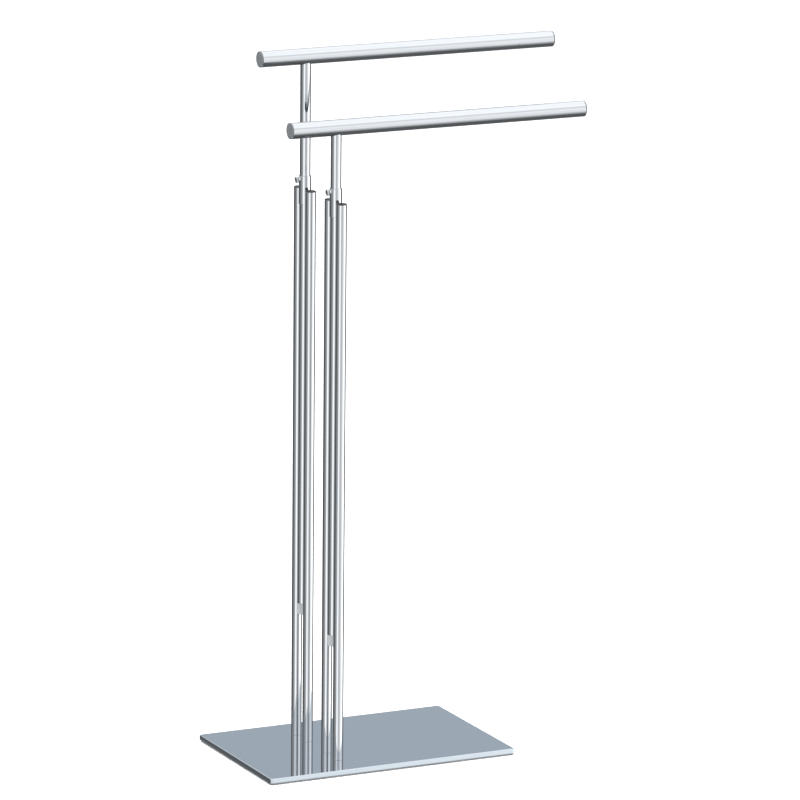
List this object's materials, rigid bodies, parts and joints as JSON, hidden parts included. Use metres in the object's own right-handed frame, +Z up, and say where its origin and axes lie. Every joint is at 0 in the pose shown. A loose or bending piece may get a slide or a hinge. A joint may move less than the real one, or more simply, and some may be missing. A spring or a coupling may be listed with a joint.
{
  "type": "free-standing towel stand",
  "caption": "Free-standing chrome towel stand: flat base plate, paired post tubes and T-shaped rails at two heights, each on a sliding tube held by a clamp screw.",
  "frame": {"origin": "middle of the anti-slip mat's underside, on the floor", "axes": "+X along the rails to their long end, +Y from the front rail to the rear rail, +Z up"},
  "size_m": [0.404, 0.195, 0.792],
  "materials": {
    "tube_chrome": "polished chrome plate",
    "plate_chrome": "polished chrome plate, seen as a mirror",
    "knob_chrome": "polished chrome plate on a straight knurl",
    "zinc_steel": "bright zinc plate",
    "black_plastic": "moulded, semi-gloss",
    "grey_plastic": "moulded, satin",
    "pale_nylon": "moulded, satin",
    "base_mat": "matt foam rubber"
  },
  "bodies": {
    "stand": {"base_plate": "plate_chrome", "base_mat": "base_mat", "front_post_front_tube": "tube_chrome", "front_post_front_foot_insert": "zinc_steel", "front_post_front_base_screw": "zinc_steel", "front_post_front_top_plug": "black_plastic", "front_post_back_tube": "tube_chrome", "front_post_back_foot_insert": "zinc_steel", "front_post_back_base_screw": "zinc_steel", "front_post_back_top_plug": "black_plastic", "front_guide_collar": "tube_chrome", "rear_post_front_tube": "tube_chrome", "rear_post_front_foot_insert": "zinc_steel", "rear_post_front_base_screw": "zinc_steel", "rear_post_front_top_plug": "black_plastic", "rear_post_back_tube": "tube_chrome", "rear_post_back_foot_insert": "zinc_steel", "rear_post_back_base_screw": "zinc_steel", "rear_post_back_top_plug": "black_plastic", "rear_guide_collar": "tube_chrome"},
    "front_clamp": {"front_clamp_screw": "knob_chrome"},
    "front_arm": {"front_sliding_tube": "tube_chrome", "front_rail": "tube_chrome", "front_rail_left_cap": "grey_plastic", "front_rail_right_cap": "grey_plastic", "front_rail_insert": "zinc_steel", "front_rail_nut": "zinc_steel", "front_rail_stud": "zinc_steel", "front_slider_block": "pale_nylon", "front_slider_screw": "zinc_steel"},
    "rear_clamp": {"rear_clamp_screw": "knob_chrome"},
    "rear_arm": {"rear_sliding_tube": "tube_chrome", "rear_rail": "tube_chrome", "rear_rail_left_cap": "grey_plastic", "rear_rail_right_cap": "grey_plastic", "rear_rail_insert": "zinc_steel", "rear_rail_nut": "zinc_steel", "rear_rail_stud": "zinc_steel", "rear_slider_block": "pale_nylon", "rear_slider_screw": "zinc_steel"}
  },
  "joints": [
    {"name": "front_arm_slide", "type": "slide", "parent": "stand", "child": "front_arm", "axis": [0, 0, 1], "range_m": [-0.055, 0.3]},
    {"name": "front_clamp_turn", "type": "hinge", "parent": "stand", "child": "front_clamp", "pos_m": [-0.059, -0.04, 0.646], "axis": [-1, 0, 0], "range_deg": [0, 720]},
    {"name": "rear_arm_slide", "type": "slide", "parent": "stand", "child": "rear_arm", "axis": [0, 0, 1], "range_m": [-0.12, 0.3]},
    {"name": "rear_clamp_turn", "type": "hinge", "parent": "stand", "child": "rear_clamp", "pos_m": [-0.059, 0.04, 0.646], "axis": [-1, 0, 0], "range_deg": [0, 720]}
  ]
}
